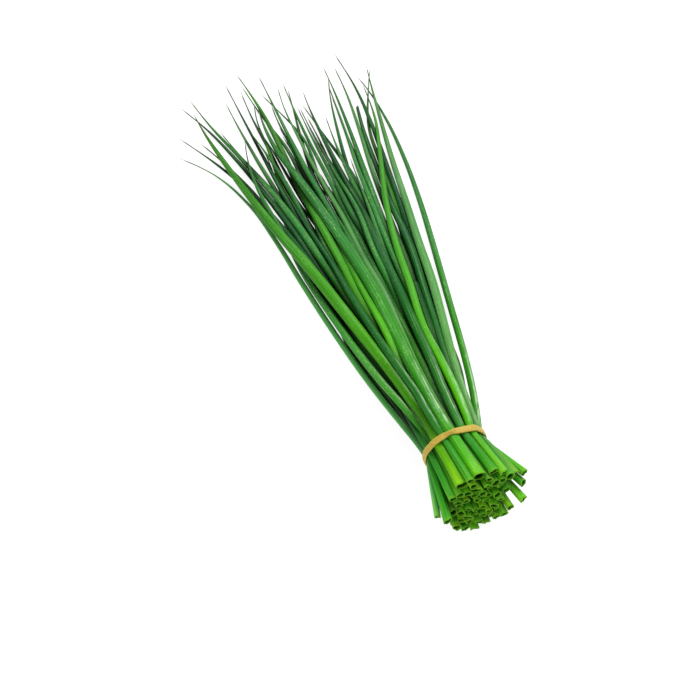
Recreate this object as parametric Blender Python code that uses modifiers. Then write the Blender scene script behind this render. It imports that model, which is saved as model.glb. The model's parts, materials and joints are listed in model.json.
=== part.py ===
"""A bunch of chives lying on a table, held together by a rubber band near the cut ends.

The bunch lies along Y, with the cut ends towards -Y and the tips towards +Y. Each chive is one
hollow leaf: round, open where it was cut, and drawn out to a point. The leaves are packed tight
inside the band, flare a little at the cut ends, and fan out and sag onto the table beyond it.
"""

import math

import bmesh
import bpy
import numpy as np
from mathutils import Vector

MM = 0.001
MERGE_DISTANCE = 0.01 * MM
SMOOTH_ANGLE = math.radians(70)

# The band is where Y is zero until the whole bunch is centred at the end.
STATIONS = np.array([-31, -20, -9, 0, 9, 22, 38, 57, 79, 102, 126, 150, 174, 198, 224]) * MM
BAND_STATION = 3

LEAF_COUNT = 57
INNER_DIAMETER = 2.65 * MM
OUTER_DIAMETER = 3.0 * MM
DIAMETER_SPREAD = 0.18 * MM
POINT_RADIUS = 0.16 * MM
SLOW_TAPER = 0.08
TAPER_POWER = 4.4
# The band pinches every leaf by this share, and a third as much one reach away from it.
PINCH = 0.17
PINCH_REACH = 14.0 * MM
BORE_SHARE = 0.62
BORE_DEPTH = 8.0 * MM
BORE_OVERSHOOT = 2.0 * MM
BORE_SIDES = 6
LEAF_GAP = 0.2 * MM
NEAR_END = 1.5 * MM

WAIST_RADIUS = 12 * MM
LOOSE_WAIST_RADIUS = 15.0 * MM
WAIST_HEIGHT = 13.0 * MM
CUT_REACH = 26.0 * MM
CUT_SLANT = 4.5 * MM
CUT_SPREAD = 0.8 * MM
# Leaves stand this much further apart at the cut than in the band, and more so on the right.
CUT_FLARE = 1.22
RIGHT_FLARE = 0.30
FLARE_SPREAD = 0.06
CUT_LEAN = 2.2 * MM
SAG_LENGTH = 66 * MM
SAG_POWER = 1.5
SAG_END = 0.2

BAND_WIDTH = 2.9 * MM
BAND_THICKNESS = 0.9 * MM
BAND_GAP = 0.2 * MM
BAND_POINTS = 48

# The leaves that show from above, from left to right. For each: its thickness; the turn from the
# band's top at which it crosses the band, in degrees; how far out it lies there, 1 being under the
# band; its sideways and lengthwise places at the cut; its sideways places 50, 100 and 150 past the
# band; and its tip, sideways and along. Lengths in millimetres.
TOP_LEAVES = [
    (2.3, -97, 1, -17, -25, -18.5, -26, -34, -54, 186),
    (3.1, -79, 1, -15, -30, -12.5, -19.6, -29, -43, 191),
    (2.9, -61, 1, -10, -24, -11.5, -17.5, -28.8, -51, 197),
    (4.4, -40, 1, -5.5, -21.5, -10.5, -20, -31.5, -41, 208),
    (3.2, -62, 0.72, -9, -25, -10.5, -17, -25, -45, 214),
    (3.3, -38, 0.72, -4, -24, -10, -12.5, -22, -40.4, 217),
    (3.6, -20, 0.6, -2, -24, -6.5, -10.5, -11.4, -15, 225),
    (4.9, -14, 1, 1.5, -21, -3, -4, -11.2, -13, 201),
    (2.5, 3, 0.8, 4, -23, 0, 1.8, 0, -0.2, 210),
    (2.8, 10, 0.6, 4, -24, 2.5, 2.9, 2.4, 3, 212),
    (3.5, 18, 1, 6.5, -21, 6.5, 9, 9, 10, 204),
    (3.1, 37, 1, 10.5, -22, 9, 14, 27, 37, 197),
    (3, 54, 1, 13, -23, 13, 21, 25.5, 30, 187),
    (3.4, 70, 1, 16, -21, 16.5, 25, 33, 43, 208),
    (2.8, 97, 0.85, 19, -23, 15, 21, 28.2, 32, 221),
    (2.7, 85, 1, 20.5, -20, 23.5, 32.5, 39, 37, 204),
    (2.9, 113, 1, 17.5, -28, 14, 17, 19, 22, 198),
    (3.2, 26, 0.7, 6, -24, 10, 20.3, 30.6, 16.4, 81),
]
SHOWN_PLACES = np.array([50, 100, 150]) * MM
TOP_TONES = (
    "mid", "deep", "deep", "bright", "deep", "mid", "bright", "mid",
    "pale", "mid", "deep", "bright", "deep", "pale", "deep", "mid", "mid", "deep",
)
# The leaves whose tips are broken off, counted from zero, and how much each has lost.
BROKEN_LEAVES = {12: 26 * MM, 17: 120 * MM}
# Where other long leaves end, sideways and along, in millimetres.
LONG_TIPS = [
    (-31.8, 194.2), (-27, 210), (-18, 213.6), (-15.8, 188.6), (-23.2, 220.6), (-9.7, 201.8),
    (-15.4, 191.5), (-3.4, 182.3), (-29, 183.2), (-5.8, 220.4), (1.2, 208.7), (2, 195),
    (4.2, 207.9), (5, 196), (9.9, 196.6), (22, 208), (24, 203), (28, 215), (33, 213), (33.7, 206),
    (-18.5, 205), (-12.5, 215),
]
# The shorter leaves among them end nearer the band, spread evenly from side to side.
SHORT_SIDES = (-19 * MM, 14 * MM)
SHORT_REACH = (146 * MM, 190 * MM)
SIDE_ORDER_NOISE = 3.4 * MM
PLACE_NOISE = 0.1 * MM
BOW_SPREAD = 2.0 * MM
# The further right a leaf ends, the more it bows to the left, by this much at this place.
RIGHT_BOW = 4 * MM
RIGHT_BOW_PLACE = 33 * MM
HOOK_SPREAD = 2.8 * MM
HOOK_LENGTH = 52 * MM

SETTLE_STEPS = 900
CLEAR_STEPS = 2200
CLEAR_ENOUGH = 0.03 * MM
PUSH = 0.32
TOP_LEAF_GIVE = 0.06
STIFFNESS = 0.30
WEIGHT = 0.010 * MM
SEED = 5

# For each tone: its colour, and its share of the leaves that aren't on top.
LEAF_TONES = {
    "bright": ((0.105, 0.335, 0.018), 0.2),
    "mid": ((0.045, 0.215, 0.022), 0.4),
    "deep": ((0.016, 0.105, 0.022), 0.32),
    "pale": ((0.120, 0.270, 0.075), 0.08),
}
LEAF_ROUGHNESS = 0.42
BAND_TONE = (0.60, 0.40, 0.13)
BAND_ROUGHNESS = 0.55


def clear_scene():
    for obj in list(bpy.data.objects):
        bpy.data.objects.remove(obj)


def make_collection(name):
    collection = bpy.data.collections.new(name)
    bpy.context.scene.collection.children.link(collection)
    return collection


def make_material(name, colour, roughness):
    material = bpy.data.materials.new(name)
    material.use_nodes = True
    shader = material.node_tree.nodes["Principled BSDF"]
    shader.inputs["Base Color"].default_value = (*colour, 1.0)
    shader.inputs["Roughness"].default_value = roughness
    shader.inputs["Metallic"].default_value = 0.0
    return material


def top_leaf_values():
    """The columns of TOP_LEAVES, with lengths in metres and the ring places worked out."""
    thick, turn, out, *places = np.array(TOP_LEAVES).T
    ring = out * (WAIST_RADIUS - thick * MM / 2)
    side, up = ring * np.sin(np.radians(turn)), ring * np.cos(np.radians(turn))
    cut_side, cut_along, *shown, tip_side, tip_along = np.array(places) * MM
    return thick * MM, side, up, cut_side, cut_along, np.array(shown), tip_side, tip_along


def waist_places(random, taken):
    """(sideways, upwards) inside the band for the leaves that aren't on top: the free places of
    a sunflower pattern, which are those furthest from the places already taken."""
    many = 3 * LEAF_COUNT
    count = np.arange(many)
    radius = (WAIST_RADIUS - INNER_DIAMETER / 2) * np.sqrt((count + 0.5) / many)
    turn = count * math.pi * (3 - math.sqrt(5))
    pattern = np.column_stack([radius * np.sin(turn), radius * np.cos(turn)])
    for _ in range(LEAF_COUNT - len(TOP_LEAVES)):
        room = np.linalg.norm(pattern[:, None] - taken[None], axis=2).min(1)
        taken = np.vstack([taken, pattern[room.argmax()]])
    chosen = taken[len(TOP_LEAVES):]
    chosen += random.normal(0, PLACE_NOISE, chosen.shape)
    return chosen[:, 0], chosen[:, 1]


def tip_places(random, side):
    """(sideways, along) for these leaves' tips, which keep the order of the leaves in the band."""
    short = len(side) - len(LONG_TIPS)
    short_tips = np.column_stack([
        np.linspace(*SHORT_SIDES, short), random.uniform(*SHORT_REACH, short),
    ])
    tips = np.concatenate([np.array(LONG_TIPS) * MM, short_tips])
    tips = tips[np.argsort(tips[:, 0])]
    order = np.argsort(side + random.normal(0, SIDE_ORDER_NOISE, len(side)))
    placed = np.empty_like(tips)
    placed[order] = tips
    return placed[:, 0], placed[:, 1]


def fanned_sides(random, side, tip_side, tip_along):
    """Sideways places beyond the band: straight to the tip's side, but for a bow and a bent tip."""
    beyond = np.clip(STATIONS[None, :], 0, None)
    share = beyond / tip_along[:, None]
    bow = random.normal(0, BOW_SPREAD, (len(side), 1))
    bow -= RIGHT_BOW * np.clip(tip_side / RIGHT_BOW_PLACE, 0, 1)[:, None]
    arch = bow * 4 * share * (1 - share)
    last = np.clip((beyond - tip_along[:, None]) / HOOK_LENGTH + 1, 0, 1.5)
    hook = random.normal(0, HOOK_SPREAD, (len(side), 1)) * last ** 2
    return side[:, None] + (tip_side - side)[:, None] * share + arch + hook


def shown_sides(side, places, tip_side, tip_along):
    """Sideways places beyond the band: the curve of least power through the places given, which
    runs on straight past the tip."""
    rows = []
    for waist, middle, end, reach in zip(side, places.T, tip_side, tip_along, strict=True):
        known = np.concatenate([[0], SHOWN_PLACES, [reach]])
        curve = np.polynomial.Polynomial.fit(known, [waist, *middle, end], len(known) - 1)
        within = np.clip(STATIONS, 0, reach)
        rows.append(curve(within) + curve.deriv()(reach) * np.clip(STATIONS - reach, 0, None))
    return np.array(rows)


def drawn_paths(side, up, cut_side, cut_along, beyond_sides, radius):
    """Each leaf's (sideways, height) at every station, before the leaves make room for each other.

    Before the band they flare. Beyond it they sag towards the table, in layers.
    """
    along = STATIONS[None, :]
    before = np.clip(-along, 0, None) / -cut_along[:, None]
    to_cut = side[:, None] + (cut_side - side)[:, None] * before
    sideways = np.where(along > 0, beyond_sides, to_cut)
    sag = SAG_END + (1 - SAG_END) * np.exp(-(np.clip(along, 0, None) / SAG_LENGTH) ** SAG_POWER)
    waist_height = (WAIST_HEIGHT + up)[:, None]
    foot = radius[:, None]
    height = np.where(
        along > 0,
        foot + (waist_height - foot) * sag,
        waist_height + up[:, None] * (CUT_FLARE - 1) * before,
    )
    return sideways, height


def slimness(along, cut_along, tip_along):
    """A leaf's thickness as a share of its full one: it shrinks slowly from the cut, then quickly
    to almost nothing at the tip, and it is pinched at the band."""
    share = np.clip((along - cut_along) / (tip_along - cut_along), 0, 1)
    pinch = PINCH * np.exp(-(along / PINCH_REACH) ** 2)
    return (1 - SLOW_TAPER * share) * (1 - share ** TAPER_POWER) * (1 - pinch)


def push_apart(sideways, height, reach, alive, give):
    """Moves leaves apart wherever two axes, between two stations, come nearer than their reach."""
    dx = sideways[:, None, :] - sideways[None, :, :]
    dz = height[:, None, :] - height[None, :, :]
    ax, az = dx[..., :-1], dz[..., :-1]
    ex, ez = dx[..., 1:] - ax, dz[..., 1:] - az
    nearest = np.clip(-(ax * ex + az * ez) / (ex ** 2 + ez ** 2 + 1e-12), 0, 1)
    cx, cz = ax + nearest * ex, az + nearest * ez
    distance = np.hypot(cx, cz) + 1e-9
    both = reach[:, None, :] + reach[None, :, :]
    needed = both[..., :-1] * (1 - nearest) + both[..., 1:] * nearest
    lack = np.clip(needed - distance, 0, None) * (alive[:, None, :] & alive[None, :, :])
    lack *= ~np.eye(len(sideways), dtype=bool)[..., None]
    share = PUSH * lack / distance / ((1 - nearest) ** 2 + nearest ** 2)
    share *= (2 * give[:, None] / (give[:, None] + give[None, :]))[..., None]
    for values, step in ((sideways, cx * share), (height, cz * share)):
        values[:, :-1] += (step * (1 - nearest)).sum(1)
        values[:, 1:] += (step * nearest).sum(1)
    return float(lack.max())


def section_reach(sideways, height, radii):
    """Half the width of each leaf's slanting cut by a station's plane, and half the gap kept."""
    dy = np.diff(STATIONS)
    slope = np.hypot(np.diff(sideways) / dy, np.diff(height) / dy)
    steepest = np.maximum(np.pad(slope, ((0, 0), (0, 1))), np.pad(slope, ((0, 0), (1, 0))))
    return radii * np.sqrt(1 + steepest ** 2) + LEAF_GAP / 2


def squeeze_waist(sideways, height, reach, limit):
    """Draws every leaf at the band to within the limit of the band's middle."""
    side = sideways[:, BAND_STATION]
    up = height[:, BAND_STATION] - WAIST_HEIGHT
    distance = np.hypot(side, up) + 1e-9
    scale = np.minimum(1, (limit - reach[:, BAND_STATION]) / distance)
    sideways[:, BAND_STATION] = side * scale
    height[:, BAND_STATION] = WAIST_HEIGHT + up * scale


def settle(sideways, height, radii, alive, give):
    """Lets the drawn leaves sag, bend smoothly and make room, until no two overlap."""
    drawn = sideways.copy(), height.copy()
    for step in range(SETTLE_STEPS + CLEAR_STEPS):
        settling = step < SETTLE_STEPS
        ease = max(0, 1 - step / SETTLE_STEPS)
        reach = section_reach(sideways, height, radii)
        limit = WAIST_RADIUS + (LOOSE_WAIST_RADIUS - WAIST_RADIUS) * ease
        squeeze_waist(sideways, height, reach, limit)
        if settling:
            for values, plan in ((sideways, drawn[0]), (height, drawn[1])):
                moved = values - plan
                curve = moved[:, :-2] + moved[:, 2:] - 2 * moved[:, 1:-1]
                values[:, 1:-1] += STIFFNESS * (0.25 + ease) * curve / 2
            height[:, BAND_STATION + 2:] -= WEIGHT
        lack = push_apart(sideways, height, reach, alive, give)
        np.maximum(height, reach, out=height)
        if not settling and lack < CLEAR_ENOUGH:
            break
    print(f"settled in {step + 1} steps, worst bite {lack / MM:.3f} mm")
    return sideways, height


def leaf_points(index, paths, cut_along, tip_along, whole_tip, radius):
    """The points of one leaf's axis from its cut to its tip, and its radius at each."""
    sideways, height = paths
    inside = (STATIONS > cut_along[index] + NEAR_END) & (STATIONS < tip_along[index] - NEAR_END)
    along = np.concatenate([[cut_along[index]], STATIONS[inside], [tip_along[index]]])
    points = np.column_stack([
        np.interp(along, STATIONS, sideways[index]),
        along,
        np.interp(along, STATIONS, height[index]),
    ])
    slim = slimness(along, along[0], whole_tip[index])
    return points, np.maximum(radius[index] * slim, POINT_RADIUS)


def make_tube(name, points, thickness, collection):
    """A closed tapered tube as a mesh object, from a curve with its bevel and caps."""
    curve = bpy.data.curves.new(name, "CURVE")
    curve.dimensions = "3D"
    curve.bevel_depth = 1.0
    curve.bevel_resolution = 1
    curve.use_fill_caps = True
    spline = curve.splines.new("POLY")
    spline.points.add(len(points) - 1)
    for point, place, radius in zip(spline.points, points, thickness, strict=True):
        point.co = (*place, 1.0)
        point.radius = radius
    guide = bpy.data.objects.new(name + "_axis", curve)
    collection.objects.link(guide)
    graph = bpy.context.evaluated_depsgraph_get()
    mesh = bpy.data.meshes.new_from_object(guide.evaluated_get(graph))
    bpy.data.objects.remove(guide)
    mesh.name = name
    cage = bmesh.new()
    cage.from_mesh(mesh)
    bmesh.ops.remove_doubles(cage, verts=cage.verts, dist=MERGE_DISTANCE)
    bmesh.ops.recalc_face_normals(cage, faces=cage.faces)
    cage.to_mesh(mesh)
    cage.free()
    mesh.shade_smooth()
    mesh.set_sharp_from_angle(angle=SMOOTH_ANGLE)
    tube = bpy.data.objects.new(name, mesh)
    collection.objects.link(tube)
    return tube


def make_bore_cutter(name, points, radius, collection):
    """A cylinder along the leaf's cut end, which opens its hollow."""
    inward = Vector(points[1] - points[0]).normalized()
    bpy.ops.mesh.primitive_cylinder_add(
        vertices=BORE_SIDES, radius=BORE_SHARE * radius, depth=BORE_DEPTH + BORE_OVERSHOOT
    )
    cutter = bpy.context.object
    cutter.name = name
    cutter.rotation_mode = "QUATERNION"
    cutter.rotation_quaternion = inward.to_track_quat("Z", "Y")
    cutter.location = Vector(points[0]) + inward * (BORE_DEPTH - BORE_OVERSHOOT) / 2
    for owner in list(cutter.users_collection):
        owner.objects.unlink(cutter)
    collection.objects.link(cutter)
    cutter.hide_render = True
    cutter.display_type = "WIRE"
    return cutter


def make_leaf(index, points, thickness, material, parts, cutters):
    name = f"chive_{index + 1:02d}"
    leaf = make_tube(name, points, thickness, parts)
    leaf.data.materials.clear()
    leaf.data.materials.append(material)
    bore = leaf.modifiers.new("hollow", "BOOLEAN")
    bore.operation = "DIFFERENCE"
    bore.object = make_bore_cutter(name + "_bore", points, thickness[0], cutters)
    return leaf


def band_loop(paths, reach):
    """The tight line round all leaves under the band's width, standing off by the gap."""
    turns = np.linspace(0, 2 * math.pi, BAND_POINTS, endpoint=False)
    outward = np.column_stack([np.cos(turns), np.sin(turns)])
    best = np.full(BAND_POINTS, -1.0)
    loop = np.zeros((BAND_POINTS, 2))
    for edge in (-BAND_WIDTH / 2, 0.0, BAND_WIDTH / 2):
        sideways, height, clear = (
            np.array([np.interp(edge, STATIONS, row) for row in values])
            for values in (*paths, reach)
        )
        centre = np.column_stack([sideways, height])
        stand_off = clear + BAND_GAP
        middle = centre.mean(0)
        support = (centre - middle) @ outward.T + stand_off[:, None]
        first = support.argmax(0)
        furthest = support[first, np.arange(BAND_POINTS)]
        line = centre[first] + outward * stand_off[first][:, None]
        wider = furthest > best
        best[wider] = furthest[wider]
        loop[wider] = line[wider]
    return loop


def make_band(loop, material, collection):
    """A flat strip of rubber: the loop drawn out to the band's width, then given its thickness."""
    curve = bpy.data.curves.new("rubber_band", "CURVE")
    curve.dimensions = "3D"
    curve.extrude = BAND_WIDTH / 2
    spline = curve.splines.new("POLY")
    spline.points.add(len(loop) - 1)
    for point, (sideways, height) in zip(spline.points, loop, strict=True):
        point.co = (sideways, height, 0.0, 1.0)
    spline.use_cyclic_u = True
    guide = bpy.data.objects.new("band_line", curve)
    collection.objects.link(guide)
    graph = bpy.context.evaluated_depsgraph_get()
    mesh = bpy.data.meshes.new_from_object(guide.evaluated_get(graph))
    bpy.data.objects.remove(guide)
    cage = bmesh.new()
    cage.from_mesh(mesh)
    bmesh.ops.remove_doubles(cage, verts=cage.verts, dist=MERGE_DISTANCE)
    bmesh.ops.recalc_face_normals(cage, faces=cage.faces)
    cage.faces.ensure_lookup_table()
    first = cage.faces[0]
    middle = Vector((*loop.mean(0), 0))
    if first.normal.dot(first.calc_center_median() - middle) < 0:
        bmesh.ops.reverse_faces(cage, faces=cage.faces)
    cage.to_mesh(mesh)
    cage.free()
    mesh.shade_smooth()
    band = bpy.data.objects.new("rubber_band", mesh)
    collection.objects.link(band)
    band.rotation_euler = (math.radians(90), 0, 0)
    band.data.materials.append(material)
    wall = band.modifiers.new("thickness", "SOLIDIFY")
    wall.thickness = BAND_THICKNESS
    wall.offset = 1.0
    wall.use_even_offset = True
    return band


def stand_on_origin(parts, cutters):
    """Moves everything so that the middle of the underside is the origin."""
    graph = bpy.context.evaluated_depsgraph_get()
    corners = []
    for obj in parts.objects:
        evaluated = obj.evaluated_get(graph)
        corners += [evaluated.matrix_world @ Vector(corner) for corner in evaluated.bound_box]
    corners = np.array(corners)
    low, high = corners.min(0), corners.max(0)
    shift = Vector((-(low[0] + high[0]) / 2, -(low[1] + high[1]) / 2, -low[2]))
    for obj in list(parts.objects) + list(cutters.objects):
        obj.location += shift
    print(f"size {(high - low) / MM} mm, band at Y {shift.y / MM:.2f} mm, X {shift.x / MM:.2f} mm")


def main():
    clear_scene()
    parts = make_collection("chive_bunch")
    cutters = make_collection("cutters")
    tones = {
        name: make_material("leaf_" + name, colour, LEAF_ROUGHNESS)
        for name, (colour, _) in LEAF_TONES.items()
    }
    band_rubber = make_material("rubber", BAND_TONE, BAND_ROUGHNESS)

    random = np.random.default_rng(SEED)
    top = top_leaf_values()
    top_thick, top_side, top_up, top_cut_side, top_cut_along, top_shown, *top_tip = top
    side, up = waist_places(random, np.column_stack([top_side, top_up]))
    outside = np.hypot(side, up) / WAIST_RADIUS
    thick = INNER_DIAMETER + (OUTER_DIAMETER - INNER_DIAMETER) * outside ** 2
    thick += random.normal(0, DIAMETER_SPREAD, len(side))
    flare = CUT_FLARE + random.normal(0, FLARE_SPREAD, len(side))
    flare += RIGHT_FLARE * np.clip(side / WAIST_RADIUS, 0, 1)
    cut_side = side * flare + CUT_LEAN * np.clip(up / WAIST_RADIUS, 0, 1)
    cut_along = CUT_SLANT * up / WAIST_RADIUS - CUT_REACH
    cut_along += random.uniform(-CUT_SPREAD, CUT_SPREAD, len(side))
    tip_side, tip_along = tip_places(random, side)
    beyond = np.vstack([
        shown_sides(top_side, top_shown, *top_tip),
        fanned_sides(random, side, tip_side, tip_along),
    ])
    side, up = np.hstack([top_side, side]), np.hstack([top_up, up])
    cut_side = np.hstack([top_cut_side, cut_side])
    cut_along = np.hstack([top_cut_along, cut_along])
    tip_along = np.hstack([top_tip[1], tip_along])
    radius = np.hstack([top_thick, thick]) / 2
    give = np.where(np.arange(LEAF_COUNT) < len(TOP_LEAVES), TOP_LEAF_GIVE, 1.0)

    whole_tip = tip_along.copy()
    whole_tip[list(BROKEN_LEAVES)] += list(BROKEN_LEAVES.values())
    slim = slimness(STATIONS[None, :], cut_along[:, None], whole_tip[:, None])
    radii = np.maximum(radius[:, None] * slim, POINT_RADIUS)
    alive = STATIONS[None, :-1] < tip_along[:, None]
    drawn = drawn_paths(side, up, cut_side, cut_along, beyond, radius)
    paths = settle(*drawn, radii, alive, give)

    hidden = LEAF_COUNT - len(TOP_LEAVES)
    shares = [share for _, share in LEAF_TONES.values()]
    leaf_tones = [*TOP_TONES, *random.choice(list(tones), hidden, p=shares)]
    for index, tone in enumerate(leaf_tones):
        points, thickness = leaf_points(index, paths, cut_along, tip_along, whole_tip, radius)
        make_leaf(index, points, thickness, tones[tone], parts, cutters)
    make_band(band_loop(paths, section_reach(*paths, radii)), band_rubber, parts)
    bpy.context.view_layer.update()
    stand_on_origin(parts, cutters)


main()
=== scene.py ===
import json
import math

import bpy
import numpy as np
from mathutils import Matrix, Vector


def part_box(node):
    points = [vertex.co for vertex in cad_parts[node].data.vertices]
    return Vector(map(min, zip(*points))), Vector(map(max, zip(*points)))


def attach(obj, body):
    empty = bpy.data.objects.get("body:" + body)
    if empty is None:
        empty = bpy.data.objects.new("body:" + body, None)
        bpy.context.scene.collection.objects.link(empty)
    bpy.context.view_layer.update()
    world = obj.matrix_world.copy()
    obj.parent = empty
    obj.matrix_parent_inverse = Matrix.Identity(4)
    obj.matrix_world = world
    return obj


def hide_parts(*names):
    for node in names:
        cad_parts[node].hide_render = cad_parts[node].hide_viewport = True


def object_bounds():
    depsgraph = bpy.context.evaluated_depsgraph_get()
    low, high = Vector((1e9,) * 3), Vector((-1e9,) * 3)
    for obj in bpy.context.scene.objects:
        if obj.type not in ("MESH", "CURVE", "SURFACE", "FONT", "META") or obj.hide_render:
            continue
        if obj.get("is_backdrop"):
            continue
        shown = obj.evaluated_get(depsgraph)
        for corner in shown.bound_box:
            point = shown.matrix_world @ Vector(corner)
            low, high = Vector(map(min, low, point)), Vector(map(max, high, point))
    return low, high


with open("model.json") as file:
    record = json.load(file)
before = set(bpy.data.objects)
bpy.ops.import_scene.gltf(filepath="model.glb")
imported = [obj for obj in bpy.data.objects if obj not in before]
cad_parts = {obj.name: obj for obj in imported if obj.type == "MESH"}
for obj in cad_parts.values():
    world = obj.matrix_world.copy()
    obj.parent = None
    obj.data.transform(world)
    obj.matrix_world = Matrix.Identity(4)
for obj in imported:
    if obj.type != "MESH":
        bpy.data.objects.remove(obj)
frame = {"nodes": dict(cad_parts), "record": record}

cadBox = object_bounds()
mm = 0.001
bandLow, bandHigh = (np.array(corner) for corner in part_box("rubber_band"))
bandMiddle = (bandLow + bandHigh) / 2
leafNames = sorted(name for name in frame["nodes"] if name.startswith("chive_"))
print(f"frame loaded: {len(leafNames)} leaves and a band at {np.round(bandMiddle / mm, 1)} mm")


class Socket:
    # one output of a node, which can be used in sums with numbers and other outputs
    def __init__(self, tree, output):
        self.tree = tree
        self.output = output

    def math(self, operation, *values):
        return addNode(self.tree, "ShaderNodeMath", {"operation": operation}, dict(enumerate(values)))

    def __add__(self, other):
        return self.math("ADD", self, other)

    def __radd__(self, other):
        return self.math("ADD", other, self)

    def __sub__(self, other):
        return self.math("SUBTRACT", self, other)

    def __rsub__(self, other):
        return self.math("SUBTRACT", other, self)

    def __mul__(self, other):
        return self.math("MULTIPLY", self, other)

    def __rmul__(self, other):
        return self.math("MULTIPLY", other, self)

    def clamped(self):
        return self.math("MAXIMUM", self.math("MINIMUM", self, 1.0), 0.0)

    def step(self, low, high):
        # 0 at low, 1 at high and smooth between; low may be the larger of the two
        return addNode(
            self.tree,
            "ShaderNodeMapRange",
            {"interpolation_type": "SMOOTHSTEP"},
            {"Value": self, "From Min": low, "From Max": high, "To Min": 0.0, "To Max": 1.0},
        )


def addNode(tree, kind, settings, inputs, output=0):
    # adds any node: its settings are set first, then its sockets are filled or linked
    made = tree.nodes.new(kind)
    for name, value in settings.items():
        setattr(made, name, value)
    for name, value in inputs.items():
        if isinstance(value, Socket):
            tree.links.new(value.output, made.inputs[name])
        else:
            made.inputs[name].default_value = value
    return Socket(tree, made.outputs[output])


class Finish:
    # a material with one Principled shader, and short names for what its patterns are made of
    def __init__(self, name, fixed):
        self.material = bpy.data.materials.new(name)
        self.material.use_nodes = True
        self.tree = self.material.node_tree
        self.shader = self.tree.nodes["Principled BSDF"]
        for socket, value in fixed.items():
            self.shader.inputs[socket].default_value = value

    def node(self, kind, settings, inputs, output=0):
        return addNode(self.tree, kind, settings, inputs, output)

    def attribute(self, name):
        return self.node("ShaderNodeAttribute", {"attribute_name": name}, {}, "Fac")

    def vector(self, x, y, z):
        return self.node("ShaderNodeCombineXYZ", {}, {"X": x, "Y": y, "Z": z})

    def noise(self, place, scale, detail=2.0, roughness=0.5):
        sockets = {"Vector": place, "Scale": scale, "Detail": detail, "Roughness": roughness}
        return self.node("ShaderNodeTexNoise", {}, sockets, "Fac")

    def mix(self, share, first, second):
        # the node's sockets 0, 6 and 7 are the share and the two colours, and its output 2 is theirs
        sockets = {0: share, 6: withAlpha(first), 7: withAlpha(second)}
        return self.node("ShaderNodeMix", {"data_type": "RGBA"}, sockets, 2)

    def shaded(self, colour, shade):
        # a colour made darker or lighter by a number
        grey = self.node("ShaderNodeCombineColor", {}, {0: shade, 1: shade, 2: shade})
        settings = {"data_type": "RGBA", "blend_type": "MULTIPLY"}
        return self.node("ShaderNodeMix", settings, {0: 1.0, 6: colour, 7: grey}, 2)

    def feed(self, socket, value):
        self.tree.links.new(value.output, self.shader.inputs[socket])

    def bump(self, height, strength, distance):
        sockets = {"Height": height, "Strength": strength, "Distance": distance}
        self.feed("Normal", self.node("ShaderNodeBump", {}, sockets))


def withAlpha(colour):
    return colour if isinstance(colour, Socket) else (*colour, 1.0)


# The camera: its angles, how far it stands from the point that it looks at, how far that point lies
# to its right and upwards from the band's middle, and its lens.
camera = {
    "elevation": math.radians(57),
    "azimuth": math.radians(-20.5),
    "distance": 0.600,
    "aimRight": -0.0404,
    "aimUp": 0.0374,
    "lens": 80.1,
    "sensor": 36.0,
    "nearest": 10 * mm,
}


def makeCamera():
    # The line of sight comes from the two angles, by their sines and cosines.
    elevation, azimuth = camera["elevation"], camera["azimuth"]
    back = Vector((
        math.sin(azimuth) * math.cos(elevation),
        -math.cos(azimuth) * math.cos(elevation),
        math.sin(elevation),
    ))
    right = Vector((0, 0, 1)).cross(back).normalized()
    upward = back.cross(right)
    data = bpy.data.cameras.new("camera")
    data.lens = camera["lens"]
    data.sensor_width = camera["sensor"]
    data.clip_start = camera["nearest"]
    viewer = bpy.data.objects.new("camera", data)
    bpy.context.scene.collection.objects.link(viewer)
    aim = Vector(bandMiddle) + camera["aimRight"] * right + camera["aimUp"] * upward
    viewer.location = aim + camera["distance"] * back
    viewer.rotation_mode = "QUATERNION"
    viewer.rotation_quaternion = back.to_track_quat("Z", "Y")
    bpy.context.scene.camera = viewer


def addPiece(name, points, faces, attributes, material, slot, *replaced):
    # makes a smooth mesh with one number per point for each attribute, hangs it under the root body and
    # hides the solids that it replaces
    mesh = bpy.data.meshes.new(name)
    mesh.from_pydata(points, [], faces)
    for label, values in attributes.items():
        layer = mesh.attributes.new(label, "FLOAT", "POINT")
        layer.data.foreach_set("value", values.astype(np.float32))
    mesh.shade_smooth()
    mesh.materials.append(material)
    piece = bpy.data.objects.new(name, mesh)
    bpy.context.scene.collection.objects.link(piece)
    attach(piece, "root")
    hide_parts(*replaced)


def tubeFaces(rows, columns):
    # Faces of a tube of rings whose first and last rings are single points: two fans and quads.
    start = np.arange(rows - 3)[:, None] * columns + 1
    column = np.arange(columns)[None, :]
    following = (column + 1) % columns
    corners = [start + column, start + columns + column, start + columns + following, start + following]
    quads = np.stack(corners, -1).reshape(-1, 4)
    last = 1 + (rows - 3) * columns
    firstFan = np.column_stack([np.zeros(columns, int), 1 + column[0], 1 + following[0]])
    lastFan = np.column_stack([np.full(columns, last + columns), last + following[0], last + column[0]])
    return [*firstFan.tolist(), *quads.tolist(), *lastFan.tolist()]


def closeEnds(grid):
    # keeps one point of the first and of the last ring of a grid of points or numbers
    return np.concatenate([grid[0, :1], grid[1:-1].reshape(-1, *grid.shape[2:]), grid[-1, :1]])


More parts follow.
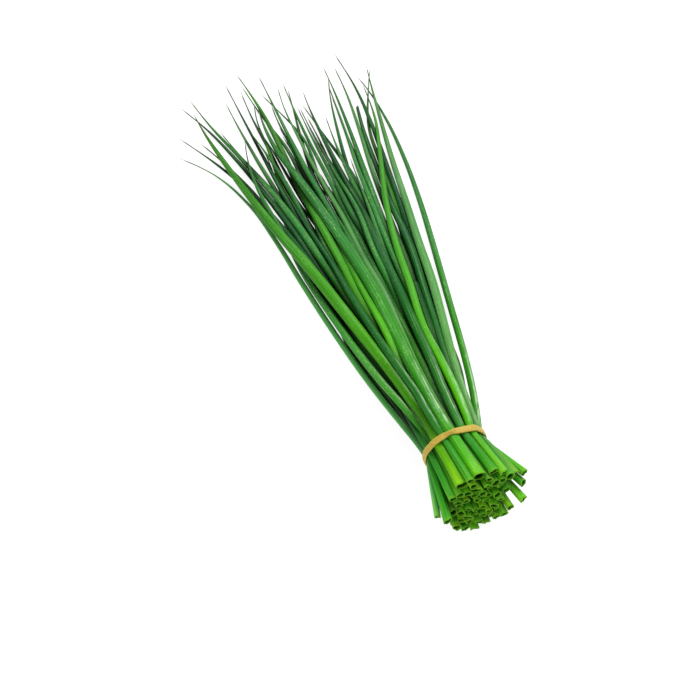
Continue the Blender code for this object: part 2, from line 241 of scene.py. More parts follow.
# The leaves: the bends are places along the bunch, from the band's middle, where the solids bend.
leaf = {
    "bends": np.array([-20, -12, -5, -1.2, 1.2, 5, 13, 22, 38, 57, 79, 102, 126, 150, 174, 198]) * mm,
    "sides": 28,
    "outerRings": 150,
    "innerRings": 14,
    "bunching": 0.55,  # how much closer the rings stand near both ends
    "cutMargin": 1.6 * mm,  # the first slice is this far from the cut
    "tipMargin": 3 * mm,
    "startBack": 1.1 * mm,  # and the visible leaf starts this far before it
    "tipCap": 0.4 * mm,  # the points this near the end give the tip's place
    "measured": 0.7,  # the share of a leaf that its thickness is taken from
    "fuller": 1.03,  # how much thicker than its solid, as a share
    "fullerBy": 0.04 * mm,  # and by a length
    "slowTaper": 0.08,
    "taperPower": 4.4,
    "tipRadius": 0.24 * mm,
    "tipLength": 4 * mm,
    "tipEnd": 0.4,  # what is left of the tip's radius at its very end
    "cadPinch": 0.17,  # how much the solids are pinched at the band
    "pinch": 0.10,
    "pinchReach": 14 * mm,
    "bandPinch": 0.04,  # a narrower pinch, right under the band
    "bandPinchReach": 3 * mm,
    "swell": 0.025,
    "swellLength": 17 * mm,
    "wall": 0.26 * mm,
    "rimInsets": (0.35, 0.8),  # how far in the rim's rings go, as shares of the wall
    "rimDepth": 0.04 * mm,
    "hollowStart": 0.12,
    "hollowDepth": 18 * mm,
    "flatness": 0.06,
    "flatnessWave": 0.6,
    "flatnessLength": 31 * mm,
    "lean": 0.5,
    "leanWave": 0.3,
    "leanLength": 45 * mm,
    "keels": ((5, 0.006), (9, 0.003)),  # how many, and how high
    "collapse": 0.20,  # the most that a cut end is flatter than the rest
    "collapseReach": 5 * mm,
    "slant": 0.38,  # the most that a cut slants, as a share of the radius
    "ragged": 0.10 * mm,
    "raggedSpread": 0.6,  # how much a tear takes its neighbours along
    "raggedReach": 1.2 * mm,
    "tear": 4.0,  # how much more torn a broken end is
    "dimple": 0.8 * mm,
    "wobble": 0.22 * mm,
    "wobbleLengths": (14 * mm, 24 * mm),
    "wobbleStart": 60 * mm,
    "floorGap": 0.02 * mm,
    # how a leaf lies under others sets the painted shade on its skin
    "coverStep": 4 * mm,  # from here: how a leaf lies under others
    "coverStart": 0.6 * mm,
    "coverDrop": 2.1 * mm,
    "coverReach": 2.1 * mm,
    "coverPower": 2.0,
    "openShare": 0.85,
    "openCrowd": 2.5,
    "nearBand": 12 * mm,  # the surface that the band is laid round
    "seed": 5,
    "seedStep": 1000,
    "broken": {"chive_13": 26 * mm, "chive_18": 120 * mm},  # what these have lost of their tips
    "dullEnds": {"chive_12": 0.65},  # the share by which this one's cut end is less bright
    "pale": {"chive_01": 0.75},  # the share by which this one is paler
    "dark": {"chive_04": 0.20},  # the share by which this one is darker past the band
}
slotOf = {part["node"]: part["material_slot"] for part in frame["record"]["subparts"]}


def sliceLeaf(name, places):
    # Cuts a node's mesh with planes across Y. For each cut: the middle of its outline's box, and
    # how far its outline reaches from there. Also gives the mesh's points.
    mesh = frame["nodes"][name].data
    points = np.empty(len(mesh.vertices) * 3, np.float32)
    mesh.vertices.foreach_get("co", points)
    points = points.reshape(-1, 3).astype(float)
    edges = np.empty(len(mesh.edges) * 2, np.int32)
    mesh.edges.foreach_get("vertices", edges)
    start, end = points[edges.reshape(-1, 2)].transpose(1, 0, 2)
    middles, reaches = [], []
    for place in places:
        crossing = (start[:, 1] - place) * (end[:, 1] - place) < 0
        a, b = start[crossing], end[crossing]
        share = ((place - a[:, 1]) / (b[:, 1] - a[:, 1]))[:, None]
        cut = (a + (b - a) * share)[:, [0, 2]]
        middle = (cut.min(0) + cut.max(0)) / 2
        middles.append([middle[0], place, middle[1]])
        reaches.append(np.linalg.norm(cut - middle, axis=1).max())
    return np.array(middles), np.array(reaches), points


def slimness(beyond, share, pinch):
    # A leaf's thickness as a share of its full one: it shrinks slowly from the cut, then by a power
    # of the way along it to nothing at the tip, and it is pinched at the band, by a bell.
    taper = (1 - leaf["slowTaper"] * share) * (1 - np.minimum(share, 1) ** leaf["taperPower"])
    return taper * (1 - pinch * np.exp(-(beyond / leaf["pinchReach"]) ** 2))


def leafKnots(name):
    # The middles of the leaf's cut, bends and tip, its full radius, and where its whole tip was.
    low, high = (np.array(corner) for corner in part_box(name))
    cut, tip = low[1], high[1]
    whole = tip + leaf["broken"].get(name, 0)
    bends = bandMiddle[1] + leaf["bends"]
    first = cut + leaf["cutMargin"]
    inside = bends[(bends > first + leaf["cutMargin"]) & (bends < tip - leaf["tipMargin"])]
    middles, reaches, points = sliceLeaf(name, np.concatenate([[first], inside]))
    slope = np.diff(middles, axis=0) / np.diff(middles[:, 1])[:, None]
    steep = np.sqrt(1 + slope[:, 0] ** 2 + slope[:, 2] ** 2)
    share = (middles[1:, 1] - cut) / (whole - cut)
    thick = share < leaf["measured"]
    slim = slimness(middles[1:, 1] - bandMiddle[1], share, leaf["cadPinch"])
    radius = np.median((reaches[1:] / steep / slim)[thick])
    cutMiddle = middles[0] - slope[0] * leaf["startBack"]
    tipMiddle = points[points[:, 1] > tip - leaf["tipCap"]].mean(0)
    return np.vstack([cutMiddle, middles[1:], tipMiddle]), radius, whole


def throughKnots(knots, places):
    # A smooth curve through the knots, as points at places along Y: between two knots it is a cubic
    # whose slope at each knot is that of the parabola through the knot and its two neighbours.
    along, values = knots[:, 1], knots[:, [0, 2]]
    gap = np.diff(along)[:, None]
    rise = np.diff(values, axis=0) / gap
    middle = (rise[:-1] * gap[1:] + rise[1:] * gap[:-1]) / (gap[:-1] + gap[1:])
    slopes = np.vstack([1.5 * rise[0] - 0.5 * middle[0], middle, 1.5 * rise[-1] - 0.5 * middle[-1]])
    index = np.clip(np.searchsorted(along, places, "right") - 1, 0, len(along) - 2)
    t = ((places - along[index]) / gap[index, 0])[:, None]
    h = gap[index]
    curve = (
        (2 * t ** 3 - 3 * t ** 2 + 1) * values[index]
        + (t ** 3 - 2 * t ** 2 + t) * h * slopes[index]
        + (3 * t ** 2 - 2 * t ** 3) * values[index + 1]
        + (t ** 3 - t ** 2) * h * slopes[index + 1]
    )
    return np.column_stack([curve[:, 0], places, curve[:, 1]])


def ringsAlong(axis, turn):
    # For each point of an axis, the directions of a ring square to it; and the axis's directions.
    tangent = np.gradient(axis, axis=0)
    tangent /= np.linalg.norm(tangent, axis=1, keepdims=True)
    across = np.cross(tangent, [0, 0, 1])
    across /= np.linalg.norm(across, axis=1, keepdims=True)
    upward = np.cross(across, tangent)
    ring = np.cos(turn)[:, None] * across[:, None] + np.sin(turn)[:, None] * upward[:, None]
    return ring, tangent


def coverOfLeaves(shapes):
    # How deep each leaf lies under others, 0 to 1, at even places along Y: every leaf above it adds
    # a share, which grows with its height over the leaf and falls off sideways as a bell. Their sum
    # comes close to 1 as an exponential does. It sets the painted shade on the leaves' skin.
    ends = [knots[[0, -1], 1] for knots, _, _ in shapes]
    places = np.arange(np.min(ends), np.max(ends), leaf["coverStep"])
    lines = [
        [np.interp(places, knots[:, 1], knots[:, axis], left=np.nan, right=np.nan) for axis in (0, 2)]
        for knots, _, _ in shapes
    ]
    side, height = np.array(lines).transpose(1, 0, 2)
    beside = (side[None] - side[:, None]) / leaf["coverReach"]
    higher = height[None] - height[:, None] - leaf["coverStart"]
    above = np.clip(higher / leaf["coverDrop"], 0, 1)
    cover = np.nansum(above * np.exp(-beside ** 2), axis=1)
    # Light also comes in from the sides: the fewer leaves stand beside it, the less a leaf is covered.
    fewer = [np.nansum(np.clip(way * beside, 0, 1), axis=1) for way in (-1, 1)]
    cover *= 1 - leaf["openShare"] * np.exp(-np.minimum(*fewer) / leaf["openCrowd"])
    return places, 1 - np.exp(-leaf["coverPower"] * cover)


def buildLeaf(number, name, shape, cover, materials):
    # A leaf is a tube of rings square to a curve through its knots: the inside of its hollow first,
    # from its bottom to the cut, then the outside, from the cut to the tip.
    random = np.random.default_rng(leaf["seed"] * leaf["seedStep"] + number)
    knots, radius, whole = shape
    radius = radius * leaf["fuller"] + leaf["fullerBy"]
    cut, tip = knots[0, 1], knots[-1, 1]
    turn = np.linspace(0, 2 * np.pi, leaf["sides"], endpoint=False)

    # Rings stand closer together near the cut and the tip: even steps, bent by a sine.
    even = np.linspace(0, 1, leaf["outerRings"])
    spaced = even - leaf["bunching"] * np.sin(2 * np.pi * even) / (2 * np.pi)
    axis = throughKnots(knots, cut + (tip - cut) * spaced)
    beyond = axis[:, 1] - bandMiddle[1]
    share = (axis[:, 1] - cut) / (whole - cut)
    # A slow wave of its own bends each leaf a little, growing past the band and fading at the tip.
    free = np.clip(beyond / leaf["wobbleStart"], 0, 1) * (1 - spaced) * 2
    for direction in (0, 2):
        wave = np.sin(beyond / random.uniform(*leaf["wobbleLengths"]) + random.uniform(0, 2 * np.pi))
        axis[:, direction] += leaf["wobble"] * free * wave
    ring, tangent = ringsAlong(axis, turn)

    # Thickness: the leaf's slimness, a slow swelling, and at the tip no less than a thin point.
    phase = random.uniform(0, 2 * np.pi)
    swelling = 1 + leaf["swell"] * np.sin(beyond / leaf["swellLength"] + phase)
    tight = leaf["bandPinch"] * np.exp(-(beyond / leaf["bandPinchReach"]) ** 2)
    thick = radius * slimness(beyond, share, leaf["pinch"]) * (swelling - tight)
    left = (tip - axis[:, 1]) / leaf["tipLength"]
    point = leaf["tipRadius"] * np.clip(left, leaf["tipEnd"], 1)
    thick = np.maximum(thick, point)

    # Section: an oval whose long side turns slowly, with faint keels; it is flatter at the cut.
    lean = random.uniform(-leaf["lean"], leaf["lean"])
    lean = lean + leaf["leanWave"] * np.sin(beyond / leaf["leanLength"])
    phase = random.uniform(0, 2 * np.pi)
    wave = 1 + leaf["flatnessWave"] * np.sin(beyond / leaf["flatnessLength"] + phase)
    collapsed = random.uniform(0, leaf["collapse"])
    keels = sum(
        height * np.cos(count * turn + random.uniform(0, 2 * np.pi)) for count, height in leaf["keels"]
    )

    def outline(fromCut, flatness, angle):
        # how far out a ring goes, as a share of its radius
        flat = flatness + collapsed * np.exp(-(np.maximum(fromCut, 0) / leaf["collapseReach"]) ** 2)
        return 1 + flat[:, None] * np.cos(2 * (turn - angle[:, None])) + keels

    outer = (thick[:, None] * outline(axis[:, 1] - cut, leaf["flatness"] * wave, lean))[..., None]
    outer = axis[:, None] + outer * ring

    # The cut is slanted and torn: its rim slides along the leaf, by a cosine and some noise.
    torn = random.normal(0, leaf["ragged"], leaf["sides"])
    torn += leaf["raggedSpread"] * (np.roll(torn, 1) + np.roll(torn, -1))
    slant = random.uniform(-leaf["slant"], leaf["slant"]) * radius
    slide = torn + slant * np.cos(turn + random.uniform(0, 2 * np.pi))

    # The hollow: the wall turns in over a narrow rim, and its inside runs back along the leaf.
    back = np.linspace(leaf["hollowStart"], 1, leaf["innerRings"]) ** 2
    depth = np.concatenate([[0, leaf["rimDepth"]], back * leaf["hollowDepth"]])
    inset = np.concatenate([leaf["rimInsets"], np.ones(leaf["innerRings"])]) * leaf["wall"]
    innerAxis = throughKnots(knots, cut + depth)
    innerRing, _ = ringsAlong(innerAxis, turn)
    steady = np.full(len(depth), leaf["flatness"] * wave[0])
    inside = np.interp(cut + depth, axis[:, 1], thick)[:, None]
    inside = inside * outline(depth, steady, np.full(len(depth), lean[0])) - inset[:, None]
    inner = innerAxis[:, None] + inside[..., None] * innerRing
    for surface, fromCut in ((outer, axis[:, 1] - cut), (inner, depth)):
        fading = np.exp(-fromCut / leaf["raggedReach"])[:, None]
        surface += (fading * slide)[..., None] * tangent[0]
        surface[..., 2] = np.maximum(surface[..., 2], leaf["floorGap"])

    grid = np.concatenate([inner[::-1], outer])
    grid[0] = innerAxis[-1]
    grid[-1] = axis[-1]
    if name in leaf["broken"]:
        # The broken end is torn the same way as the cut, only more, and dented.
        grid[-2] += leaf["tear"] * torn[:, None] * tangent[-1]
        grid[-1] -= leaf["dimple"] * tangent[-1]
    along = np.concatenate([-depth[::-1], axis[:, 1] - cut])
    fromBand = np.concatenate([innerAxis[::-1, 1], axis[:, 1]]) - bandMiddle[1]
    size = (len(grid), leaf["sides"])
    numbers = {
        "along": along[:, None],
        "fromBand": fromBand[:, None],
        "aroundX": np.cos(turn),
        "aroundY": np.sin(turn),
        "toTip": np.maximum(along, 0)[:, None] / (whole - cut),
        # how deep it lies under others, for the painted shade on its skin
        "cover": np.interp(fromBand + bandMiddle[1], *cover)[:, None],
        "own": random.uniform(0, 1),
        "dull": leaf["dullEnds"].get(name, 0.0),
        "pale": leaf["pale"].get(name, 0.0),
        "dark": leaf["dark"].get(name, 0.0),
    }
    attributes = {label: closeEnds(np.broadcast_to(value, size)) for label, value in numbers.items()}
    faces = tubeFaces(*size)
    slot = slotOf[name]
    addPiece(name + "_leaf", closeEnds(grid), faces, attributes, materials[slot], slot, name)
    return outer[np.abs(beyond) < leaf["nearBand"]].reshape(-1, 3)


# Each tone: its linear colours at the cut, just past the band and far from it, and how strong are
# the painted highlight past its band, the yellow of its cut end, its grey bloom and its pale specks.
leafTones = {
    "leaf_bright": {
        "cut": (0.160, 0.530, 0.003),
        "middle": (0.066, 0.355, 0.003),
        "far": (0.050, 0.280, 0.018),
        "paintedHighlight": 0.72,
        "yellow": 0.70,
        "bloom": 0.05,
        "specks": 0.26,
    },
    "leaf_mid": {
        "cut": (0.074, 0.440, 0.008),
        "middle": (0.031, 0.240, 0.009),
        "far": (0.034, 0.200, 0.042),
        "paintedHighlight": 0.72,
        "yellow": 0.28,
        "bloom": 0.11,
        "specks": 0.50,
    },
    "leaf_deep": {
        "cut": (0.026, 0.275, 0.008),
        "middle": (0.010, 0.115, 0.011),
        "far": (0.010, 0.088, 0.023),
        "paintedHighlight": 0.45,
        "yellow": 0.12,
        "bloom": 0.04,
        "specks": 0.18,
    },
    "leaf_pale": {
        "cut": (0.080, 0.320, 0.018),
        "middle": (0.090, 0.300, 0.054),
        "far": (0.078, 0.255, 0.066),
        "paintedHighlight": 0.40,
        "yellow": 0.30,
        "bloom": 0.20,
        "specks": 0.30,
    },
}
# The skin of all leaves: its gloss and bump, its colours, and the shares in which they come.
leafSkin = {
    "roughness": 0.36,
    "roughnessVaried": 0.3,
    "shine": 0.10,
    "index": 1.42,
    "bumpStreaks": 0.5,
    "bumpMottle": 0.4,
    "bumpStrength": 0.6,
    "bumpHeight": 0.16 * mm,
    "paleColour": (0.100, 0.420, 0.095),
    "bloomColour": (0.25, 0.46, 0.24),
    "bloomLeast": 0.4,
    "bloomRibs": 1.2,
    "speckColour": (0.32, 0.60, 0.12),
    "tipColour": (0.060, 0.085, 0.028),
    "tipDry": 0.8,
    "rimColour": (0.15, 0.43, 0.018),
    "rimLeast": 0.3,
    "rimMottle": 0.8,
    # painted shade inside the hollow
    "hollowShadeColour": (0.004, 0.036, 0.002),
    "shadeStreaks": 0.78,
    "shadeRibs": 0.90,
    "shadeMottle": 0.36,
    "shadeOwn": 0.20,
    "shadeAll": -0.03,
    # painted shade: how much darker a leaf is where it faces down
    "underside": 0.50,
    # painted shade: how much darker a leaf is where it lies under others, and how much more past the
    # band
    "covered": 0.40,
    "coverShadePastBand": 0.58,
    "tipShade": 0.36,
    # the painted highlight past the band: its colour, where it stands round the leaf, its width, least
    # share and mottle
    "paintedHighlightColour": (0.50, 0.68, 0.44),
    "paintedHighlightPlace": 0.45,
    "paintedHighlightWidth": 0.44,
    "paintedHighlightLeast": 0.35,
    "paintedHighlightMottle": 1.1,
    # pale rib lines, painted highlights on the upper side: how strong, least share and colour
    "lines": 0.45,
    "ribHighlightLeast": 0.3,
    "ribHighlightColour": (0.17, 0.46, 0.08),
    "endColour": (0.34, 0.56, 0.008),
    # Each pattern on a leaf's skin: how fine it is round the leaf and along it, how far it is moved on
    # from leaf to leaf, and the noise's detail and roughness.
    "patterns": {
        "streaks": (2.2, 22, 40, 4.0, 0.6),
        "ribs": (4.6, 24, 70, 3.0, 0.6),
        "patches": (0.8, 48, 90, 2.0, 0.5),
        "dashes": (4.4, 760, 50, 1.0, 0.5),
        "mottle": (1.5, 210, 20, 3.0, 0.5),
    },
    # Where each change of colour starts and ends: as a length from the band or the cut, as a share of
    # the way to the tip, as a height round the leaf from -1 to 1, or as a value of a pattern.
    "fades": {
        "middle": (-22 * mm, 20 * mm),
        "far": (30 * mm, 130 * mm),
        "underside": (0.3, -0.9),
        "tipShade": (0.45, 1.0),
        "ripeEnd": (12 * mm, 0.5 * mm),
        "ripePatches": (0.80, 1.25),
        "bloomPatches": (0.46, 0.70),
        "paintedHighlightTop": (0.0, 0.4),
        "paintedHighlightStart": (1 * mm, 8 * mm),
        "paintedHighlightEnd": (60 * mm, 8 * mm),
        "paintedHighlightRibs": (0.34, 0.60),
        "paintedHighlightMottle": (0.35, 0.60),
        "ribHighlightRibs": (0.56, 0.66),
        "ribHighlightTop": (0.0, 0.5),
        "speckDashes": (0.61, 0.70),
        "speckPatches": (0.36, 0.56),
        "dryTip": (0.90, 1.0),
        "rimOutside": (1.6 * mm, 0.0),
        "rimInside": (-1.2 * mm, -0.1 * mm),
        # painted shade inside the hollow: where it starts and where it is full
        "hollow": (-0.1 * mm, -1.6 * mm),
    },
    # How far a pattern, or the leaf's own number, moves some of these places to and fro.
    "shifts": {
        "middleStreaks": 16 * mm,
        "farOwn": 30 * mm,
        "farPatches": 40 * mm,
        "dryOwn": 0.05,
        "dryStreaks": 0.03,
    },
}


def makeSkin(slot, tone):
    # Skin of a leaf: colour runs from the cut to the tip, with streaks and fine ribs drawn out
    # along it, with painted shade where it faces down or lies under other leaves; over these come a
    # yellower cut end, grey bloom in soft patches, a painted highlight past the band, pale rib lines
    # that are painted highlights on the upper side, short pale specks, a dry tip, a pale rim and
    # painted shade inside the hollow. Every change is an S-curve between two places.
    skin = Finish(slot, {"Specular IOR Level": leafSkin["shine"], "IOR": leafSkin["index"]})
    along, toTip = skin.attribute("along"), skin.attribute("toTip")
    fromBand, own = skin.attribute("fromBand"), skin.attribute("own")
    x, y = skin.attribute("aroundX"), skin.attribute("aroundY")
    cover, dull = skin.attribute("cover"), skin.attribute("dull")

    def pattern(name):
        # noise on a tube round the leaf's own direction, so it has no seam
        around, lengthwise, moved, detail, roughness = leafSkin["patterns"][name]
        place = skin.vector(x * around, y * around, along * lengthwise + own * moved)
        return skin.noise(place, 1.0, detail, roughness)

    def faded(value, name):
        # 0 where the change starts, 1 where it ends
        return value.step(*leafSkin["fades"][name])

    def shifted(value, name):
        # a pattern or number about its middle, as a push to and fro
        return (value - 0.5) * leafSkin["shifts"][name]

    streaks, ribs, patches = pattern("streaks"), pattern("ribs"), pattern("patches")
    dashes, mottle = pattern("dashes"), pattern("mottle")

    nearBand = faded(fromBand + shifted(streaks, "middleStreaks"), "middle")
    colour = skin.mix((nearBand + dull).clamped(), tone["cut"], tone["middle"])
    farOut = faded(fromBand + shifted(own, "farOwn") + shifted(patches, "farPatches"), "far")
    colour = skin.mix(farOut, colour, tone["far"])
    colour = skin.mix(skin.attribute("pale"), colour, leafSkin["paleColour"])
    shade = streaks * leafSkin["shadeStreaks"] + ribs * leafSkin["shadeRibs"]
    shade = shade + mottle * leafSkin["shadeMottle"] + (own - 0.5) * leafSkin["shadeOwn"]
    shade = shade + leafSkin["shadeAll"]
    # Painted shade: darker where the leaf faces down.
    shade = shade * (1 - faded(y, "underside") * leafSkin["underside"])
    # Painted shade: darker where the leaf lies under others, more so past the band.
    shade = shade * (1 - cover * (nearBand * leafSkin["coverShadePastBand"] + leafSkin["covered"]))
    shade = shade * (1 - faded(toTip, "tipShade") * leafSkin["tipShade"])
    shade = shade * (1 - nearBand * skin.attribute("dark"))
    ripe = faded(along, "ripeEnd") * faded(streaks + patches, "ripePatches") * tone["yellow"]
    colour = skin.mix((ripe * (1 - dull)).clamped(), colour, leafSkin["endColour"])
    colour = skin.shaded(colour, shade)

    # Where a leaf lies under others, its bloom, painted highlight, pale rib lines and specks fade out
    # with the painted shade.
    lit = 1 - cover
    bloom = faded(patches, "bloomPatches") * tone["bloom"]
    bloom = (bloom * (leafSkin["bloomLeast"] + ribs * leafSkin["bloomRibs"]) * lit).clamped()
    colour = skin.mix(bloom, colour, leafSkin["bloomColour"])
    # Painted highlight: a pale streak on the upper right side of the leaf past the band, broken up by
    # ribs and mottle, and gone where the leaf lies under others.
    offHighlight = (x - leafSkin["paintedHighlightPlace"]) * (1 / leafSkin["paintedHighlightWidth"])
    paintedHighlight = (1 - offHighlight * offHighlight).clamped() * faded(y, "paintedHighlightTop") * faded(fromBand, "paintedHighlightStart")
    paintedHighlight = paintedHighlight * faded(fromBand, "paintedHighlightEnd") * faded(ribs, "paintedHighlightRibs")
    spotted = leafSkin["paintedHighlightLeast"] + faded(mottle, "paintedHighlightMottle") * leafSkin["paintedHighlightMottle"]
    paintedHighlight = paintedHighlight * spotted * lit
    colour = skin.mix((paintedHighlight * tone["paintedHighlight"]).clamped(), colour, leafSkin["paintedHighlightColour"])
    # Pale lines on the ribs of the upper side: painted highlights, which fade where the leaf lies under
    # others.
    line = faded(ribs, "ribHighlightRibs") * faded(y, "ribHighlightTop") * leafSkin["lines"] * lit
    line = (line * (leafSkin["ribHighlightLeast"] + mottle)).clamped()
    colour = skin.mix(line, colour, leafSkin["ribHighlightColour"])
    speck = faded(dashes, "speckDashes") * faded(patches, "speckPatches") * tone["specks"] * lit
    colour = skin.mix(speck.clamped(), colour, leafSkin["speckColour"])

    dry = faded(toTip + shifted(own, "dryOwn") + shifted(streaks, "dryStreaks"), "dryTip")
    colour = skin.mix(dry * leafSkin["tipDry"], colour, leafSkin["tipColour"])
    rim = faded(along, "rimOutside") * faded(along, "rimInside")
    rim = rim * (leafSkin["rimLeast"] + mottle * leafSkin["rimMottle"])
    colour = skin.mix(rim, colour, leafSkin["rimColour"])
    # Painted shade: the inside of the hollow turns nearly black.
    hollow = faded(along, "hollow")
    colour = skin.mix(hollow, colour, leafSkin["hollowShadeColour"])
    skin.feed("Base Color", colour)
    rougher = (streaks - 0.5 + bloom + hollow) * leafSkin["roughnessVaried"]
    skin.feed("Roughness", leafSkin["roughness"] + rougher)
    height = ribs + streaks * leafSkin["bumpStreaks"] + mottle * leafSkin["bumpMottle"]
    skin.bump(height, leafSkin["bumpStrength"], leafSkin["bumpHeight"])
    return skin.material


# The band: its twist is at one place round the bunch, and its waves are shares of width or sway.
band = {
    "width": 2.75 * mm,
    "thickness": 0.85 * mm,
    "standOff": 0.02 * mm,
    "points": 240,
    "sides": 24,
    "touching": 0.6,  # the leaves this near are touched, as a share of the width
    "rounding": 4.0,  # how far a corner is rounded, in points
    "roundingReach": 9,
    "edgePower": 0.45,  # the lower these two, the squarer the section
    "facePower": 0.6,
    "widthWave": 0.07,
    "widthPhase": 1.0,
    "sway": 0.40 * mm,
    "swayWave": 0.4,
    "swayPhase": 0.8,
    "twistPlace": math.radians(101),
    "twistReach": math.radians(9),
    "twist": math.radians(34),
    "twistNarrow": 0.30,
    "twistLift": 0.6,
    # The rubber: where a pair of numbers stands, a change of colour runs from the first to the second.
    "rubber": {
        "shine": 0.35,
        "index": 1.5,
        "roughness": 0.46,
        "roughnessVaried": 0.2,
        "grainAround": 14,
        "grainAcross": 5,
        "grainDetail": 3.0,
        "grainRoughness": 0.6,
        "grainLight": (0.35, 0.75),
        "grainLift": 0.15,
        "cloudScale": 380.0,
        "cloudDark": (0.5, 0.8),
        "cloudShare": 0.5,
        "faceDark": (0.9, 0.2),
        "faceShare": 0.45,
        "bumpClouds": 0.6,
        "bumpStrength": 0.5,
        "bumpHeight": 0.1 * mm,
        "colour": (0.50, 0.355, 0.040),
        "lightColour": (0.66, 0.53, 0.095),
        "darkColour": (0.38, 0.225, 0.022),
    },
}


def bandLine(crowd):
    # The outline that a stretched loop takes round a crowd of points: in each direction it stands
    # as far out as the furthest of the points, and straight runs join them. Its corners are then
    # rounded by a running mean.
    turns = np.linspace(0, 2 * np.pi, band["points"], endpoint=False)
    outward = np.column_stack([np.cos(turns), np.sin(turns)])
    near = np.abs(crowd[:, 1] - bandMiddle[1]) < band["width"] * band["touching"]
    near = crowd[near][:, [0, 2]]
    loop = near[(near @ outward.T).argmax(0)] + outward * band["standOff"]
    closed = np.vstack([loop, loop[:1]])
    run = np.concatenate([[0], np.cumsum(np.linalg.norm(np.diff(closed, axis=0), axis=1))])
    even = np.linspace(0, run[-1], band["points"], endpoint=False)
    loop = np.column_stack([np.interp(even, run, closed[:, axis]) for axis in (0, 1)])
    shifts = np.arange(-band["roundingReach"], band["roundingReach"] + 1)
    weights = np.exp(-(shifts / band["rounding"]) ** 2)
    weights /= weights.sum()
    rounded = sum(weight * np.roll(loop, shift, axis=0) for weight, shift in zip(weights, shifts))
    return rounded, even / run[-1]


def buildBand(crowd):
    # A flat strap carried round the loop: its section is a flattened oval with blunt edges, which
    # sways along the bunch, narrows and widens slowly, and is twisted and narrow at one place.
    loop, run = bandLine(crowd)
    tangent = np.roll(loop, -1, axis=0) - np.roll(loop, 1, axis=0)
    tangent /= np.linalg.norm(tangent, axis=1, keepdims=True)
    outward = np.column_stack([tangent[:, 1], -tangent[:, 0]])
    turn = np.arctan2(loop[:, 1] - loop[:, 1].mean(), loop[:, 0] - loop[:, 0].mean())
    away = (turn - band["twistPlace"] + np.pi) % (2 * np.pi) - np.pi
    twisted = np.exp(-(away / band["twistReach"]) ** 2)
    angle = band["twist"] * twisted
    around = 2 * np.pi * run
    waves = band["widthWave"] * np.sin(2 * around + band["widthPhase"])
    width = band["width"] * (1 + waves - band["twistNarrow"] * twisted)
    sway = np.sin(around + band["swayPhase"]) + band["swayWave"] * np.sin(3 * around)
    sway = band["sway"] * sway
    corner = np.linspace(0, 2 * np.pi, band["sides"], endpoint=False)
    cosine, sine = np.cos(corner), np.sin(corner)
    across = width[:, None] / 2 * np.sign(cosine) * np.abs(cosine) ** band["edgePower"]
    up = band["thickness"] / 2 * np.sign(sine) * np.abs(sine) ** band["facePower"]
    alongY = across * np.cos(angle)[:, None] - up * np.sin(angle)[:, None]
    lift = band["thickness"] / 2 + np.abs(width / 2 * np.sin(angle)) * band["twistLift"]
    out = across * np.sin(angle)[:, None] + up * np.cos(angle)[:, None] + lift[:, None]
    grid = np.empty((band["points"], band["sides"], 3))
    grid[..., 0] = loop[:, :1] + outward[:, :1] * out
    grid[..., 1] = bandMiddle[1] + sway[:, None] + alongY
    grid[..., 2] = loop[:, 1:] + outward[:, 1:] * out

    index = np.arange(band["points"] * band["sides"]).reshape(band["points"], band["sides"])
    nextRow, nextColumn = np.roll(index, -1, axis=0), np.roll(index, -1, axis=1)
    faces = np.stack([index, nextRow, np.roll(nextRow, -1, axis=1), nextColumn], -1).reshape(-1, 4)
    size = index.shape
    numbers = {
        "runX": np.cos(around)[:, None],
        "runY": np.sin(around)[:, None],
        "edge": cosine,
    }
    attributes = {label: np.broadcast_to(value, size).ravel() for label, value in numbers.items()}
    addPiece(
        "rubberBand", grid.reshape(-1, 3), faces.tolist(), attributes,
        makeRubber(), "rubber_band", "rubber_band",
    )


def makeRubber():
    # Rubber: fine lines along the strap, soft clouds, and a darker, dirtier middle of its faces.
    look = band["rubber"]
    fixed = {"Specular IOR Level": look["shine"], "IOR": look["index"]}
    rubber = Finish("bandRubber", fixed)
    edge = rubber.attribute("edge")
    x, y = rubber.attribute("runX"), rubber.attribute("runY")
    place = rubber.node("ShaderNodeTexCoord", {}, {}, "Object")
    around = look["grainAround"]
    grainPlace = rubber.vector(x * around, y * around, edge * look["grainAcross"])
    grain = rubber.noise(grainPlace, 1.0, look["grainDetail"], look["grainRoughness"])
    clouds = rubber.noise(place, look["cloudScale"])
    light = (grain.step(*look["grainLight"]) + look["grainLift"]).clamped()
    colour = rubber.mix(light, look["colour"], look["lightColour"])
    worn = (edge * edge).step(*look["faceDark"]) * look["faceShare"]
    colour = rubber.mix(worn, colour, look["darkColour"])
    cloudy = clouds.step(*look["cloudDark"]) * look["cloudShare"]
    colour = rubber.mix(cloudy, colour, look["darkColour"])
    rubber.feed("Base Color", colour)
    rubber.feed("Roughness", look["roughness"] + grain * look["roughnessVaried"])
    height = grain + clouds * look["bumpClouds"]
    rubber.bump(height, look["bumpStrength"], look["bumpHeight"])
    return rubber.material


# The floor and the sky.
studio = {
    "floorSize": 6.0,
    "floorColour": (0.28, 0.28, 0.28),
    "floorRoughness": 0.9,
    "floorShine": 0.1,
    "floorGlow": 0.86,
    "skyColour": (1.0, 1.0, 1.0),
    "skyStrength": 0.44,
}
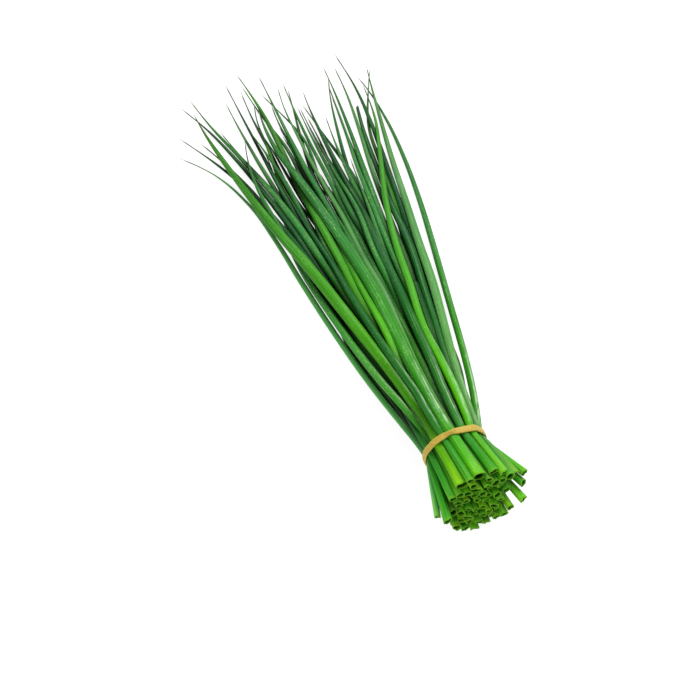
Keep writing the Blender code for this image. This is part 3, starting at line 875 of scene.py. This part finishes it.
# Each lamp: where it stands, its width and its power. All face the origin.
lamps = {
    "key": ((0.62, 0.58, 1.02), 0.90, 15.5),
    "glint": ((0.22, 0.72, 0.78), 0.16, 2.8),
    "fill": ((-0.90, -0.50, 0.80), 1.20, 6.5),
}


def makeStudio():
    # A flat square floor that glows a little, an even sky, and round lamps.
    fixed = {
        "Base Color": withAlpha(studio["floorColour"]),
        "Roughness": studio["floorRoughness"],
        "Specular IOR Level": studio["floorShine"],
        "Emission Color": (1, 1, 1, 1),
        "Emission Strength": studio["floorGlow"],
    }
    half = studio["floorSize"] / 2
    mesh = bpy.data.meshes.new("floor")
    corners = [(-half, -half, 0), (half, -half, 0), (half, half, 0), (-half, half, 0)]
    mesh.from_pydata(corners, [], [(0, 1, 2, 3)])
    mesh.materials.append(Finish("floorPaint", fixed).material)
    floor = bpy.data.objects.new("floor", mesh)
    bpy.context.scene.collection.objects.link(floor)
    floor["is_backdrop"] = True

    world = bpy.data.worlds.new("sky")
    world.use_nodes = True
    sky = world.node_tree.nodes["Background"]
    sky.inputs["Color"].default_value = withAlpha(studio["skyColour"])
    sky.inputs["Strength"].default_value = studio["skyStrength"]
    bpy.context.scene.world = world
    for name, (place, width, power) in lamps.items():
        data = bpy.data.lights.new(name, "AREA")
        data.shape = "DISK"
        data.size = width
        data.energy = power
        lamp = bpy.data.objects.new(name, data)
        lamp.location = place
        lamp.rotation_mode = "QUATERNION"
        lamp.rotation_quaternion = Vector(place).to_track_quat("Z", "Y")
        bpy.context.scene.collection.objects.link(lamp)
    bpy.context.scene.view_settings.view_transform = "Standard"


makeCamera()
makeStudio()
skins = {slot: makeSkin(slot, tone) for slot, tone in leafTones.items()}
print("camera, light and leaf skins made")
shapes = [leafKnots(name) for name in leafNames]
places, covers = coverOfLeaves(shapes)
crowd = np.vstack([
    buildLeaf(number, name, shape, (places, cover), skins)
    for number, (name, shape, cover) in enumerate(zip(leafNames, shapes, covers))
])
print(f"{len(leafNames)} leaves made")
buildBand(crowd)
print("band made")

sizes = {"cad": cadBox, "visual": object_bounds()}
sizes = {name: [list(corner) for corner in box] for name, box in sizes.items()}
